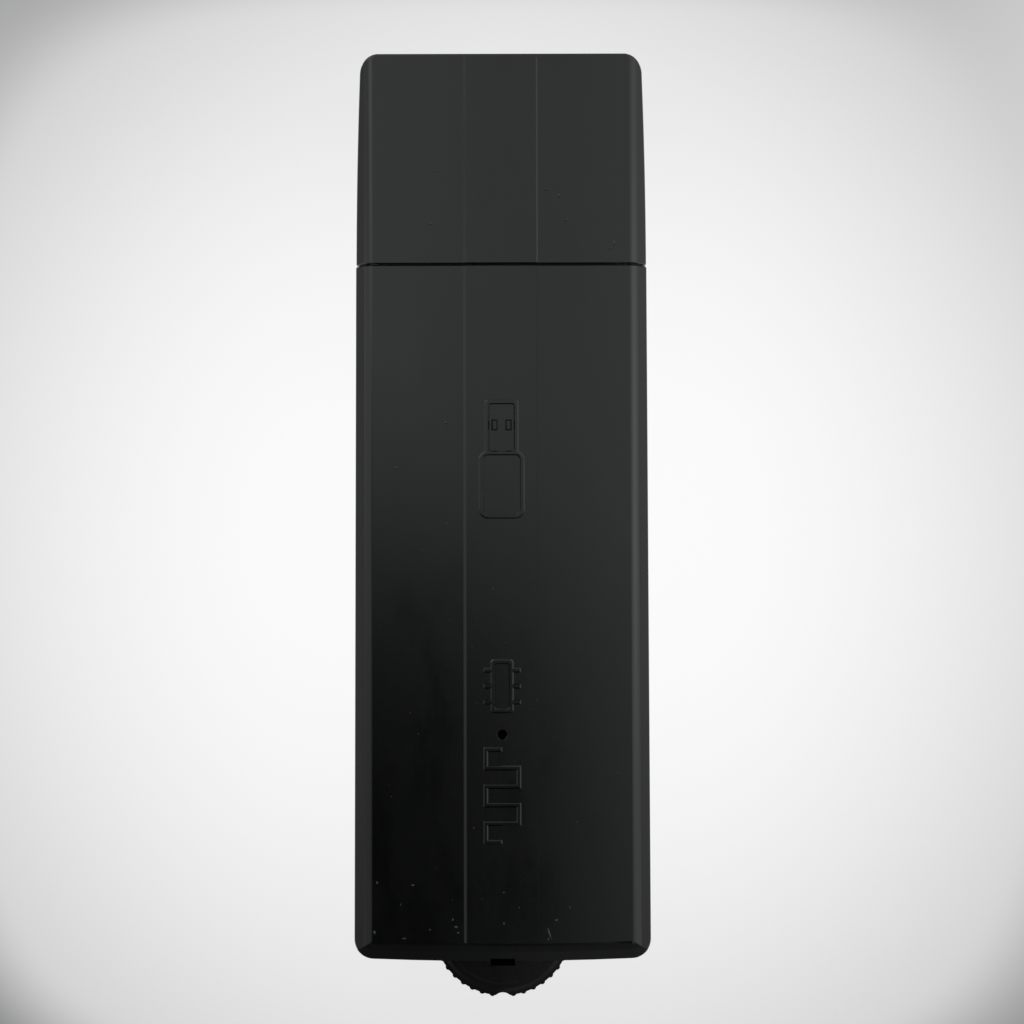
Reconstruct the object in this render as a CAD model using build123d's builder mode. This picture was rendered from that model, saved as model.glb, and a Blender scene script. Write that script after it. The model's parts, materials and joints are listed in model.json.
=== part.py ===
from build123d import *
import os
from math import cos, radians, sqrt

# A USB microcontroller programmer: a case of two moulded shells, a pull-off cap over a USB-A
# plug, a knurled selector wheel that stands out of the far end, and a pin hole over a reset
# switch. Inside are a circuit board, its components, a ten-way target socket and two indicators.
#
# Millimetres. +Y runs along the case towards the cap, +X across it, +Z out of the front face.
# The case lies on its back face; the origin is under the middle of its bounding box.

# ---- case, driving dimensions ----
width = 24.2
seam_width = 24.0
thickness = 11.0
cap_length = 17.65
body_length = 56.65
end_bow = 0.29
corner_radius = 1.6
long_chamfer_x = 1.05
long_chamfer_z = 1.25
end_chamfer = 1.05
face_blend = 1.0
side_blend = 0.25
seam_edge = 0.05
seam_gap = 0.18
cap_side_radius = 430.0
cap_step = 0.03
tip_blend = 0.3
wall = 1.4
side_wall = 1.5
end_wall = 1.4
parting_z = 5.5
overshoot = 1.0

# ---- selector wheel, driving dimensions ----
wheel_setback = 2.8
wheel_body_radius = 5.7
ridge_orbit = 5.57
ridge_radius = 0.25
ridge_places = 41
wheel_low_z = 6.8
knurl_high_z = 8.65
wheel_high_z = 9.0
wheel_face_radius = 5.45
wheel_face_chamfer = 0.33
axle_radius = 0.8
axle_fit = 0.01
wheel_bore_radius = 0.83

# ---- places along the case, worked out from the above ----
ridge_pitch = 360.0 / ridge_places
wheel_reach = ridge_orbit * cos(radians(ridge_pitch)) + ridge_radius
total_length = cap_length + body_length + end_bow + wheel_reach - wheel_setback
cap_tip_y = total_length / 2
seam_y = cap_tip_y - cap_length
cap_mouth_y = seam_y + seam_gap
corner_y = seam_y - body_length
lip_y = corner_y - end_bow
wheel_y = lip_y + wheel_setback
wheel_radius = ridge_orbit + ridge_radius
half_width = width / 2
seam_half_width = seam_width / 2
cap_half_width = seam_half_width - cap_step
inner_half_width = half_width - side_wall
inner_low_z = wall
inner_high_z = thickness - wall
inner_end_y = lip_y + end_wall

# ---- collar, plug and cap fit ----
collar_reach = 2.0
collar_wall = 1.2
collar_half_width = 10.4
collar_height = 8.0
collar_corner = 1.0
cap_clearance = 0.1
cap_depth = 15.8
cap_rib_setback = 0.4
plug_width = 12.0
plug_height = 4.5
plug_metal = 0.3
plug_length = 18.8
plug_tip_y = seam_y + 13.8
plug_rear_y = plug_tip_y - plug_length
plug_opening_gap = 0.05
rib_gap = 0.1
rib_width = 1.0

# ---- circuit board ----
board_low_z = 2.25
board_high_z = 3.25
board_half_width = 10.3
board_corner = 0.6
board_end_gap = 0.1
tail_reach = 0.35
board_front_y = seam_y - end_wall - board_end_gap
board_rear_y = inner_end_y + board_end_gap
plug_low_z = board_high_z
plug_mid_z = plug_low_z + plug_height / 2

# ---- screws ----
screw_places = [(-7.6, 11.5), (7.2, -22.6)]
screw_radius = 0.98
screw_hole_radius = 1.0
screw_head_radius = 1.8
screw_head_height = 1.15
screw_pocket_radius = 2.0
screw_pocket_depth = 1.35
screw_length = 7.0
screw_point = 0.4
screw_cross_length = 2.0
screw_cross_width = 0.45
screw_cross_depth = 0.65
screw_hole_depth = 5.6
shank_play = 0.1
boss_radius = 2.3
foot_radius = 3.0

# ---- reset switch and its pin hole ----
reset_y = seam_y - 38.53
pin_hole_radius = 0.37
pin_guide_radius = 1.3
pin_guide_low_z = 7.6
switch_size = 4.5
switch_corner = 0.3
switch_top_z = 5.05
switch_cover = 0.2
plunger_radius = 1.05
plunger_flange_radius = 1.4
plunger_top_z = 6.9

# ---- target socket ----
socket_y = 0.0
socket_pitch = 2.54
socket_columns = 5
socket_rows = 2
socket_length = socket_columns * socket_pitch
socket_height = socket_rows * socket_pitch
socket_depth = 8.5
socket_recess = 0.35
socket_gap = 0.1
socket_face_x = -half_width + socket_recess

# ---- indicators ----
pipe_places = [-8.2, 8.2]
pipe_radius = 0.8
pipe_hole_radius = 0.82
pipe_z = 4.5

# ---- raised marks and band on the front face ----
band_half_width = 2.9
band_height = 0.1
band_left_bevel = 0.24
band_right_bevel = 0.03
band_cap_bevel = 0.12
mark_height = 0.14
mark_slope = 0.11
mark_line = 0.4


def finish(builder, name):
    """Label a finished piece and write its STEP file."""
    builder.part.label = name
    export_step(builder.part, f"parts/{name}.step")


def block(low, high):
    """A rectangular solid between two opposite corners, added to the active part."""
    size = [high[i] - low[i] for i in range(3)]
    middle = [(high[i] + low[i]) / 2 for i in range(3)]
    with Locations(tuple(middle)):
        Box(*size)


def slab(low, high, mode=Mode.SUBTRACT):
    """The same, taken out of the active part, or used in another mode."""
    size = [high[i] - low[i] for i in range(3)]
    middle = [(high[i] + low[i]) / 2 for i in range(3)]
    with Locations(tuple(middle)):
        Box(*size, mode=mode)


def case_section(plane, blend=0.0):
    """Cross-section of the case: a rectangle with chamfered edges, blended into its faces or not."""
    low_z = long_chamfer_z
    high_z = thickness - long_chamfer_z
    face_x = half_width - long_chamfer_x
    with BuildSketch(plane) as section:
        with BuildLine():
            Polyline(
                (half_width, low_z), (half_width, high_z), (face_x, thickness),
                (-face_x, thickness), (-half_width, high_z), (-half_width, low_z),
                (-face_x, 0), (face_x, 0), close=True,
            )
        make_face()
        if blend:
            rows = section.vertices().group_by(Axis.Y)
            fillet(rows[0] + rows[-1], radius=blend)
    return section.sketch


def body_outline():
    """Plan of the body: sides that widen slightly towards the bowed selector end."""
    with BuildSketch(Plane.XY) as outline:
        with BuildLine():
            Polyline(
                (-half_width, corner_y), (-seam_half_width, seam_y),
                (seam_half_width, seam_y), (half_width, corner_y),
            )
            ThreePointArc((half_width, corner_y), (0, lip_y), (-half_width, corner_y))
        make_face()
        fillet(outline.vertices().group_by(Axis.Y)[0], radius=corner_radius)
    return outline.sketch


def cap_side_x(distance):
    """Half width of the cap at a distance from its mouth: an arc that starts parallel to Y."""
    return cap_half_width - cap_side_radius + sqrt(cap_side_radius**2 - distance**2)


def cap_outline():
    """Plan of the cap: sides that draw in slightly towards the tip."""
    length = cap_tip_y - cap_mouth_y
    tip_x = cap_side_x(length)
    middle = (cap_side_x(length / 2), cap_mouth_y + length / 2)
    with BuildSketch(Plane.XY) as outline:
        with BuildLine():
            Line((-cap_half_width, cap_mouth_y), (cap_half_width, cap_mouth_y))
            ThreePointArc((cap_half_width, cap_mouth_y), middle, (tip_x, cap_tip_y))
            Line((tip_x, cap_tip_y), (-tip_x, cap_tip_y))
            ThreePointArc((-tip_x, cap_tip_y), (-middle[0], middle[1]), (-cap_half_width, cap_mouth_y))
        make_face()
        fillet(outline.vertices().group_by(Axis.Y)[-1], radius=corner_radius)
    return outline.sketch


def cap_profile():
    """Side view of the cap: square at the mouth, with rounded edges at the tip."""
    length = cap_tip_y - cap_mouth_y
    with BuildSketch(Plane.YZ) as profile:
        with Locations((cap_mouth_y + length / 2, thickness / 2)):
            Rectangle(length, thickness)
        fillet(profile.vertices().group_by(Axis.X)[-1], radius=tip_blend)
    return profile.sketch


def band_section(plane, right_bevel):
    """The low raised band along the middle of the front face, with a broad left bevel."""
    band_high_z = thickness + band_height
    with BuildSketch(plane) as section:
        with BuildLine():
            Polyline(
                (-band_half_width - band_left_bevel, thickness), (-band_half_width, band_high_z),
                (band_half_width, band_high_z), (band_half_width + right_bevel, thickness), close=True,
            )
        make_face()
    return section.sketch


def long_side_edges(builder, low_y, high_y):
    """The four edges where the chamfered faces meet the sides, between two places along Y."""
    middle_y = (low_y + high_y) / 2
    return [
        edge for edge in builder.edges()
        if abs(edge.center().Y - middle_y) < 2 and edge.length > (high_y - low_y) / 2
        and abs(edge.center().X) > seam_half_width - 0.2
    ]


os.makedirs("parts", exist_ok=True)

# ---------------------------------------------------------------- the case, before it is split
with BuildPart() as body_blank:
    extrude(case_section(Plane.XZ.offset(-seam_y)), amount=body_length + end_bow)
    extrude(body_outline(), amount=thickness, mode=Mode.INTERSECT)
    front_end = body_blank.faces().sort_by(Axis.Z)[-1].edges().sort_by(Axis.Y)[0]
    back_end = body_blank.faces().sort_by(Axis.Z)[0].edges().sort_by(Axis.Y)[0]
    chamfer([front_end, back_end], length=end_chamfer)
    front_rim = body_blank.faces().sort_by(Axis.Z)[-1].edges().sort_by(Axis.Y)[:-1]
    back_rim = body_blank.faces().sort_by(Axis.Z)[0].edges().sort_by(Axis.Y)[:-1]
    fillet(front_rim + back_rim, radius=face_blend)
    fillet(long_side_edges(body_blank, corner_y, seam_y), radius=side_blend)
    chamfer(body_blank.faces().sort_by(Axis.Y)[-1].edges(), length=seam_edge)

with BuildPart() as case:
    add(body_blank.part)
    # Cored collar that the cap slides over.
    with BuildSketch(Plane.XZ.offset(-(seam_y + collar_reach))) as collar_sketch:
        with Locations((0, parting_z)):
            RectangleRounded(2 * collar_half_width, collar_height, collar_corner)
    extrude(amount=collar_reach + end_wall)
    # Main cavity, and the smaller one that reaches into the collar.
    slab((-inner_half_width, inner_end_y, inner_low_z), (inner_half_width, seam_y - end_wall, inner_high_z))
    slab(
        (-collar_half_width + collar_wall, seam_y - end_wall, parting_z - collar_height / 2 + collar_wall),
        (collar_half_width - collar_wall, seam_y + collar_reach - collar_wall,
         parting_z + collar_height / 2 - collar_wall),
    )
    # Opening for the plug through the collar's face.
    slab(
        (-plug_width / 2 - plug_opening_gap, seam_y, plug_low_z - plug_opening_gap),
        (plug_width / 2 + plug_opening_gap, seam_y + collar_reach,
         plug_low_z + plug_height + plug_opening_gap),
    )
    # Window for the target socket in the left side wall.
    slab(
        (-half_width, socket_y - socket_length / 2 - socket_gap, board_high_z - socket_gap),
        (-inner_half_width, socket_y + socket_length / 2 + socket_gap,
         board_high_z + socket_height + socket_gap),
    )

# ---------------------------------------------------------------- front shell
rail_from_end = 5.0
rail_from_socket = 8.0
rail_from_seam = 3.0
lip_rail_spans = [
    (inner_end_y + rail_from_end, socket_y - rail_from_socket),
    (socket_y + rail_from_socket, seam_y - rail_from_seam),
]
lip_rail_width = 0.6
lip_rail_height = 0.7
lip_rail_gap = 0.05
slot_side_gap = 0.15
slot_high_gap = 0.2
slot_low_gap = 0.25
wheel_slot_radius = wheel_radius + slot_side_gap
wheel_slot_high_z = wheel_high_z + slot_high_gap
wheel_slot_low_z = wheel_low_z - slot_low_gap
axle_boss_radius = 1.5
axle_boss_low_z = 9.2
axle_high_z = 10.3
index_notch_width = 2.0
index_notch_depth = 0.25
detent_post_x = 5.2
detent_post_reach = 6.65
detent_post_y = wheel_y + detent_post_reach
detent_post_size = 1.0
detent_low_z = 7.0
hole_edge = 0.06

with BuildPart() as front_shell:
    add(case.part)
    split(bisect_by=Plane.XY.offset(parting_z), keep=Keep.TOP)
    # Rebates for the back shell's locating rails.
    for low_y, high_y in lip_rail_spans:
        for side in (-1, 1):
            with Locations((side * (inner_half_width + lip_rail_width / 2), (low_y + high_y) / 2, parting_z)):
                Box(
                    lip_rail_width + 2 * lip_rail_gap, high_y - low_y + 2 * lip_rail_gap,
                    2 * (lip_rail_height + lip_rail_gap), mode=Mode.SUBTRACT,
                )
    # Slot that the wheel stands out of, open down to the parting line.
    with BuildSketch(Plane.XY.offset(parting_z)):
        with Locations((0, wheel_y)):
            Circle(wheel_slot_radius)
    extrude(amount=wheel_slot_high_z - parting_z, mode=Mode.SUBTRACT)
    # Index notch in the lip over the wheel.
    slab(
        (-index_notch_width / 2, lip_y - overshoot, wheel_slot_high_z - slot_high_gap / 2),
        (index_notch_width / 2, lip_y + index_notch_depth, thickness + overshoot),
    )
    # Boss that carries the top of the wheel's axle.
    with BuildSketch(Plane.XY.offset(axle_boss_low_z)):
        with Locations((0, wheel_y)):
            Circle(axle_boss_radius)
            Rectangle(
                2 * axle_boss_radius, 2 * (inner_end_y - wheel_y),
                mode=Mode.SUBTRACT, align=(Align.CENTER, Align.MAX),
            )
    extrude(amount=inner_high_z - axle_boss_low_z)
    with BuildSketch(Plane.XY.offset(axle_boss_low_z)):
        with Locations((0, wheel_y)):
            Circle(axle_radius + axle_fit)
    extrude(amount=axle_high_z - axle_boss_low_z, mode=Mode.SUBTRACT)
    # Screw bosses that hold the board down.
    with BuildSketch(Plane.XY.offset(board_high_z)):
        with Locations(*screw_places):
            Circle(boss_radius)
    extrude(amount=inner_high_z - board_high_z)
    with BuildSketch(Plane.XY.offset(board_high_z)):
        with Locations(*screw_places):
            Circle(screw_hole_radius)
    extrude(amount=screw_hole_depth, mode=Mode.SUBTRACT)
    # Guide tube and hole for the reset pin.
    with BuildSketch(Plane.XY.offset(pin_guide_low_z)):
        with Locations((0, reset_y)):
            Circle(pin_guide_radius)
    extrude(amount=inner_high_z - pin_guide_low_z)
    # Posts that hold the detent spring's ends.
    for side in (-1, 1):
        block(
            (side * detent_post_x - detent_post_size / 2, detent_post_y - detent_post_size / 2, detent_low_z),
            (side * detent_post_x + detent_post_size / 2, detent_post_y + detent_post_size / 2, inner_high_z),
        )
    # Raised band down the middle of the face.
    band_start_y = lip_y + end_chamfer + face_blend / 2
    band_stop_y = seam_y - seam_edge
    extrude(band_section(Plane.XZ.offset(-band_stop_y), band_right_bevel), amount=band_stop_y - band_start_y)

# Raised marks on the band: a plug outline, then a chip and a pulse on either side of the pin hole.
mark_sink = 0.02
plug_mark_y = seam_y - 16.0
plug_mark_width = 3.8
plug_mark_body = 5.6
plug_mark_corner = 0.8
plug_mark_head_width = 2.8
plug_mark_head = 4.2
plug_mark_head_corner = 0.3
plug_mark_window = 0.5
plug_mark_window_height = 0.9
plug_mark_window_pitch = 1.15
chip_mark_y = reset_y + 3.95
chip_mark_width = 1.9
chip_mark_length = 4.4
chip_mark_corner = 0.3
chip_mark_leg = 0.7
chip_mark_leg_pitch = 1.3
pulse_mark_top_y = reset_y - 1.2
pulse_mark_step = 1.5
pulse_mark_half = 1.35
pulse_mark_turns = 5


def frame_mark(width_x, length_y, corner):
    """A thin rectangular outline at the active location."""
    RectangleRounded(width_x, length_y, corner)
    RectangleRounded(width_x - 2 * mark_line, length_y - 2 * mark_line, corner / 2, mode=Mode.SUBTRACT)


with BuildPart() as marks:
    with BuildSketch(Plane.XY.offset(thickness + band_height - mark_sink)):
        with Locations((0, plug_mark_y - plug_mark_head / 2)):
            frame_mark(plug_mark_width, plug_mark_body, plug_mark_corner)
        with Locations((0, plug_mark_y + plug_mark_body / 2 - mark_line / 2)):
            frame_mark(plug_mark_head_width, plug_mark_head + mark_line, plug_mark_head_corner)
        with Locations((0, plug_mark_y + plug_mark_body / 2)):
            with GridLocations(plug_mark_window_pitch, plug_mark_window_height, 2, 1):
                Rectangle(plug_mark_window, plug_mark_window_height)
        with Locations((0, chip_mark_y)):
            frame_mark(chip_mark_width, chip_mark_length, chip_mark_corner)
            with GridLocations(chip_mark_width + chip_mark_leg - mark_line / 2, chip_mark_leg_pitch, 2, 3):
                Rectangle(chip_mark_leg, mark_line)
        pulse_points = [(0, pulse_mark_top_y)]
        for turn in range(pulse_mark_turns):
            pulse_x = pulse_mark_half if turn % 2 else -pulse_mark_half
            pulse_points.append((pulse_x, pulse_mark_top_y - turn * pulse_mark_step))
            pulse_points.append((pulse_x, pulse_mark_top_y - (turn + 1) * pulse_mark_step))
        pulse_points.append((0, pulse_mark_top_y - pulse_mark_turns * pulse_mark_step))
        with BuildLine() as pulse_line:
            Polyline(*pulse_points)
        trace(pulse_line.line, line_width=mark_line)
    extrude(amount=mark_height + mark_sink)
    chamfer(marks.faces().group_by(Axis.Z)[-1].edges(), length=mark_slope)

with BuildPart() as marked_front:
    add(front_shell.part)
    add(marks.part)
    # The pin hole goes through the wall, the band and the guide tube.
    with BuildSketch(Plane.XY.offset(pin_guide_low_z)):
        with Locations((0, reset_y)):
            Circle(pin_hole_radius)
    extrude(amount=thickness + overshoot - pin_guide_low_z, mode=Mode.SUBTRACT)
    with Locations((0, reset_y, thickness + band_height)):
        Cone(
            pin_hole_radius, pin_hole_radius + hole_edge, hole_edge,
            align=(Align.CENTER, Align.CENTER, Align.MAX), mode=Mode.SUBTRACT,
        )
finish(marked_front, "front_shell")

# ---------------------------------------------------------------- back shell
post_places = [(-8.8, -14.6), (8.8, -3.0), (-8.8, 8.2), (8.8, 13.6)]
post_radius = 1.0
slot_tongue_gap = 0.07

with BuildPart() as back_shell:
    add(case.part)
    split(bisect_by=Plane.XY.offset(parting_z), keep=Keep.BOTTOM)
    # Locating rails along the side walls.
    for low_y, high_y in lip_rail_spans:
        for side in (-1, 1):
            with Locations((side * (inner_half_width + lip_rail_width / 2), (low_y + high_y) / 2, parting_z)):
                Box(lip_rail_width, high_y - low_y, 2 * lip_rail_height)
    # Screw feet, their head pockets and shank holes.
    with BuildSketch(Plane.XY.offset(inner_low_z)):
        with Locations(*screw_places):
            Circle(foot_radius)
    extrude(amount=board_low_z - inner_low_z)
    with Locations(*[(x, y, 0) for x, y in screw_places]):
        Cylinder(
            screw_pocket_radius, screw_pocket_depth,
            align=(Align.CENTER, Align.CENTER, Align.MIN), mode=Mode.SUBTRACT,
        )
        Cylinder(
            screw_hole_radius + shank_play, board_high_z,
            align=(Align.CENTER, Align.CENTER, Align.MIN), mode=Mode.SUBTRACT,
        )
    # Posts under the board.
    with BuildSketch(Plane.XY.offset(inner_low_z)):
        with Locations(*post_places):
            Circle(post_radius)
    extrude(amount=board_low_z - inner_low_z)
    # Holes for the two light pipes.
    with BuildSketch(Plane.XZ.offset(-inner_end_y)):
        with Locations(*[(x, pipe_z) for x in pipe_places]):
            Circle(pipe_hole_radius)
    extrude(amount=end_wall, mode=Mode.SUBTRACT)

# The tongue that closes the wheel slot below the wheel, cut to the slot's round plan.
with BuildPart() as slot_tongue:
    add(body_blank.part)
    slab((-half_width, inner_end_y, -overshoot), (half_width, seam_y + overshoot, thickness + overshoot))
    slab((-half_width, lip_y - overshoot, -overshoot), (half_width, seam_y, parting_z))
    slab((-half_width, lip_y - overshoot, wheel_slot_low_z), (half_width, seam_y, thickness + overshoot))
    with BuildSketch(Plane.XY):
        with Locations((0, wheel_y)):
            Circle(wheel_slot_radius - slot_tongue_gap)
    extrude(amount=thickness, mode=Mode.INTERSECT)

with BuildPart() as closed_back:
    add(back_shell.part)
    add(slot_tongue.part)
finish(closed_back, "back_shell")

# ---------------------------------------------------------------- cap
cap_inner_half_width = collar_half_width + cap_clearance
cap_inner_height = collar_height + 2 * cap_clearance
cap_rib_start_y = seam_y + collar_reach + cap_rib_setback
band_tip_gap = 0.05

with BuildPart() as cap:
    extrude(case_section(Plane.XZ.offset(-cap_tip_y), face_blend), amount=cap_tip_y - cap_mouth_y)
    extrude(cap_outline(), amount=thickness, mode=Mode.INTERSECT)
    fillet(long_side_edges(cap, cap_mouth_y, cap_tip_y), radius=side_blend)
    extrude(cap_profile(), amount=half_width, both=True, mode=Mode.INTERSECT)
    chamfer(cap.faces().sort_by(Axis.Y)[0].edges(), length=seam_edge)
    with BuildSketch(Plane.XZ.offset(-(cap_mouth_y + cap_depth))):
        with Locations((0, parting_z)):
            RectangleRounded(2 * cap_inner_half_width, cap_inner_height, collar_corner)
    extrude(amount=cap_depth, mode=Mode.SUBTRACT)
    # Ribs either side of the plug.
    for side in (-1, 1):
        rib_x = side * (plug_width / 2 + rib_gap + rib_width / 2)
        block(
            (rib_x - rib_width / 2, cap_rib_start_y, wall),
            (rib_x + rib_width / 2, cap_mouth_y + cap_depth, thickness - wall),
        )
    band_tip_y = cap_tip_y - tip_blend - band_tip_gap
    cap_band = band_section(Plane.XZ.offset(-band_tip_y), band_cap_bevel)
    extrude(cap_band, amount=band_tip_y - cap_mouth_y - seam_edge)
finish(cap, "cap")

# ---------------------------------------------------------------- housing screws
with BuildPart() as housing_screws:
    head_z = screw_pocket_depth - screw_head_height
    with BuildSketch(Plane.XY.offset(head_z)):
        with Locations(*screw_places):
            Circle(screw_head_radius)
    extrude(amount=screw_head_height)
    with BuildSketch(Plane.XY.offset(screw_pocket_depth)):
        with Locations(*screw_places):
            Circle(screw_radius)
    extrude(amount=screw_length)
    tips = housing_screws.faces().group_by(Axis.Z)[-1].edges()
    chamfer(tips, length=screw_point)
    # Cross recesses.
    with BuildSketch(Plane.XY.offset(head_z)):
        with Locations(*screw_places):
            Rectangle(screw_cross_length, screw_cross_width)
            Rectangle(screw_cross_width, screw_cross_length)
    extrude(amount=screw_cross_depth, mode=Mode.SUBTRACT)
finish(housing_screws, "housing_screws")

# ---------------------------------------------------------------- circuit board
tail_pitch_x = 2.54
tail_setback = 1.2
tail_first_x = socket_face_x + socket_depth + tail_setback
tail_places = [
    (tail_first_x + row * tail_pitch_x, socket_y + (column - 2) * socket_pitch)
    for row in range(socket_rows)
    for column in range(socket_columns)
]
contact_xs = [-3.5, -1.0, 1.0, 3.5]
contact_half_width = 0.5
contact_tail_y = plug_rear_y - 0.8
contact_slot = (1.6, 0.7)
tab_y = plug_rear_y + 1.6
tab_length = 1.5
tab_slot = (2.2, 0.8)
tail_hole_radius = 0.5
screw_hole_play = 0.15

with BuildPart() as pcb:
    with BuildSketch(Plane.XY.offset(board_low_z)):
        with Locations((0, (board_front_y + board_rear_y) / 2)):
            RectangleRounded(2 * board_half_width, board_front_y - board_rear_y, board_corner)
        with Locations(*screw_places):
            Circle(screw_hole_radius + screw_hole_play, mode=Mode.SUBTRACT)
        with Locations(*tail_places):
            Circle(tail_hole_radius, mode=Mode.SUBTRACT)
        with Locations(*[(x, contact_tail_y) for x in contact_xs]):
            SlotOverall(*contact_slot, mode=Mode.SUBTRACT)
        with Locations(*[(side * (plug_width - plug_metal) / 2, tab_y) for side in (-1, 1)]):
            SlotOverall(*tab_slot, rotation=90, mode=Mode.SUBTRACT)
    extrude(amount=board_high_z - board_low_z)
finish(pcb, "pcb")

# ---------------------------------------------------------------- USB-A plug
window_width = 2.5
window_length = 2.0
window_from_tip = 5.9
window_x = 2.5
plug_outer_corner = 0.35
plug_inner_corner = 0.1
tongue_gap = 0.05
tongue_low_z = plug_low_z + plug_metal + tongue_gap
tongue_high_z = 5.35
tongue_front_setback = 0.5
tongue_rear_setback = 0.2
tongue_lead = 0.4
contact_thickness = 0.15
outer_contact_setback = 1.6
inner_contact_setback = 2.6
tab_height = 1.0

with BuildPart() as plug_shell:
    with BuildSketch(Plane.XZ.offset(-plug_tip_y)):
        with Locations((0, plug_mid_z)):
            RectangleRounded(plug_width, plug_height, plug_outer_corner)
            RectangleRounded(
                plug_width - 2 * plug_metal, plug_height - 2 * plug_metal, plug_inner_corner,
                mode=Mode.SUBTRACT,
            )
    extrude(amount=plug_length)
    with BuildSketch(Plane.XY):
        with Locations((0, plug_tip_y - window_from_tip)):
            with GridLocations(2 * window_x, 1, 2, 1):
                Rectangle(window_width, window_length)
    extrude(amount=thickness, mode=Mode.SUBTRACT)
    for side in (-1, 1):
        tab_x = side * (plug_width - plug_metal) / 2
        block(
            (tab_x - plug_metal / 2, tab_y - tab_length / 2, board_low_z - tail_reach),
            (tab_x + plug_metal / 2, tab_y + tab_length / 2, plug_low_z + tab_height),
        )
finish(plug_shell, "plug_shell")

with BuildPart() as plug_tongue:
    tongue_half = plug_width / 2 - plug_metal - tongue_gap
    block(
        (-tongue_half, plug_rear_y + tongue_rear_setback, tongue_low_z),
        (tongue_half, plug_tip_y - tongue_front_setback, tongue_high_z),
    )
    chamfer(plug_tongue.faces().sort_by(Axis.Y)[-1].edges().sort_by(Axis.Z)[-1], length=tongue_lead)
finish(plug_tongue, "plug_tongue")

with BuildPart() as plug_contacts:
    for x in contact_xs:
        setback = outer_contact_setback if abs(x) == contact_xs[-1] else inner_contact_setback
        tail_low_y = contact_tail_y - contact_thickness / 2
        contact_high_z = tongue_high_z + contact_thickness
        block(
            (x - contact_half_width, tail_low_y, tongue_high_z),
            (x + contact_half_width, plug_tip_y - setback, contact_high_z),
        )
        block(
            (x - contact_half_width, tail_low_y, board_low_z - tail_reach),
            (x + contact_half_width, tail_low_y + contact_thickness, contact_high_z),
        )
finish(plug_contacts, "plug_contacts")

# ---------------------------------------------------------------- chips and their leads
lead_thickness = 0.15
lead_width = 0.38
lead_foot = 0.6
lead_shoulder = 0.65
chip_lift = 0.1
chip_edge = 0.12


def lead_profile(planes, body_half, tip_half, height):
    """Gull-wing lead, drawn in a plane whose x points away from the chip and y points up."""
    bend = tip_half - lead_foot
    with BuildSketch(*planes) as profile:
        with BuildLine():
            Polyline(
                (body_half, height), (bend, height), (bend, lead_thickness), (tip_half, lead_thickness),
                (tip_half, 0), (bend - lead_thickness, 0), (bend - lead_thickness, height - lead_thickness),
                (body_half, height - lead_thickness), close=True,
            )
        make_face()
    return profile.sketch


def chip_body(builder_name, places, length_x, length_y, height):
    """Moulded chip bodies standing just off the board."""
    with BuildPart() as body:
        with BuildSketch(Plane.XY.offset(board_high_z + chip_lift)):
            with Locations(*places):
                Rectangle(length_x, length_y)
        extrude(amount=height)
        chamfer(body.faces().group_by(Axis.Z)[-1].edges(), length=chip_edge)
    finish(body, builder_name)


def chip_leads(builder_name, center, rows):
    """Rows of leads: each row gives its direction, count, pitch, body half and tip half widths."""
    planes_by_row = []
    for direction, count, pitch, body_half, tip_half in rows:
        planes = []
        for index in range(count):
            slide = (index - (count - 1) / 2) * pitch
            origin = (center[0] - direction[1] * slide, center[1] + direction[0] * slide, board_high_z)
            planes.append(Plane(origin=origin, x_dir=(*direction, 0), z_dir=(direction[1], -direction[0], 0)))
        planes_by_row.append((planes, body_half, tip_half))
    with BuildPart() as leads:
        for planes, body_half, tip_half in planes_by_row:
            profile = lead_profile(planes, body_half, tip_half, lead_shoulder)
            extrude(profile, amount=lead_width / 2, both=True)
    finish(leads, builder_name)


# Each chip has its name, the name of its leads, its place, its size along X, Y and Z, and its rows
# of leads: which way they point, how many, their pitch, and where they start and end.
left, right, near, far = (-1, 0), (1, 0), (0, -1), (0, 1)
chips = [
    ("mcu_chip", "mcu_leads", (5.2, 0.6), (7.0, 7.0, 1.1),
     [(side, 8, 0.8, 3.5, 4.5) for side in (right, far, left, near)]),
    ("level_shifter_chip", "level_shifter_leads", (4.6, -10.2), (8.65, 3.9, 1.4),
     [(side, 7, 1.27, 1.95, 3.0) for side in (far, near)]),
    ("voltage_regulator", "regulator_leads", (-6.3, -11.2), (6.5, 3.5, 1.5),
     [(near, 3, 2.3, 1.75, 3.4), (far, 1, 1.0, 1.75, 3.4)]),
]
for chip_name, leads_name, chip_center, chip_size, lead_rows in chips:
    chip_body(chip_name, [chip_center], *chip_size)
    chip_leads(leads_name, chip_center, lead_rows)

# ---------------------------------------------------------------- crystal
crystal_center = (4.0, 11.2)
crystal_foot = (11.4, 4.7)
crystal_foot_height = 0.8
crystal_size = (10.8, 4.2)
crystal_height = 2.7
crystal_blend = 0.4

with BuildPart() as crystal_base:
    with BuildSketch(Plane.XY.offset(board_high_z)):
        with Locations(crystal_center):
            SlotOverall(*crystal_foot)
    extrude(amount=crystal_foot_height)
finish(crystal_base, "crystal_base")

with BuildPart() as crystal_can:
    with BuildSketch(Plane.XY.offset(board_high_z + crystal_foot_height)):
        with Locations(crystal_center):
            SlotOverall(*crystal_size)
    extrude(amount=crystal_height)
    fillet(crystal_can.faces().sort_by(Axis.Z)[-1].edges(), radius=crystal_blend)
finish(crystal_can, "crystal_can")

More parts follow.
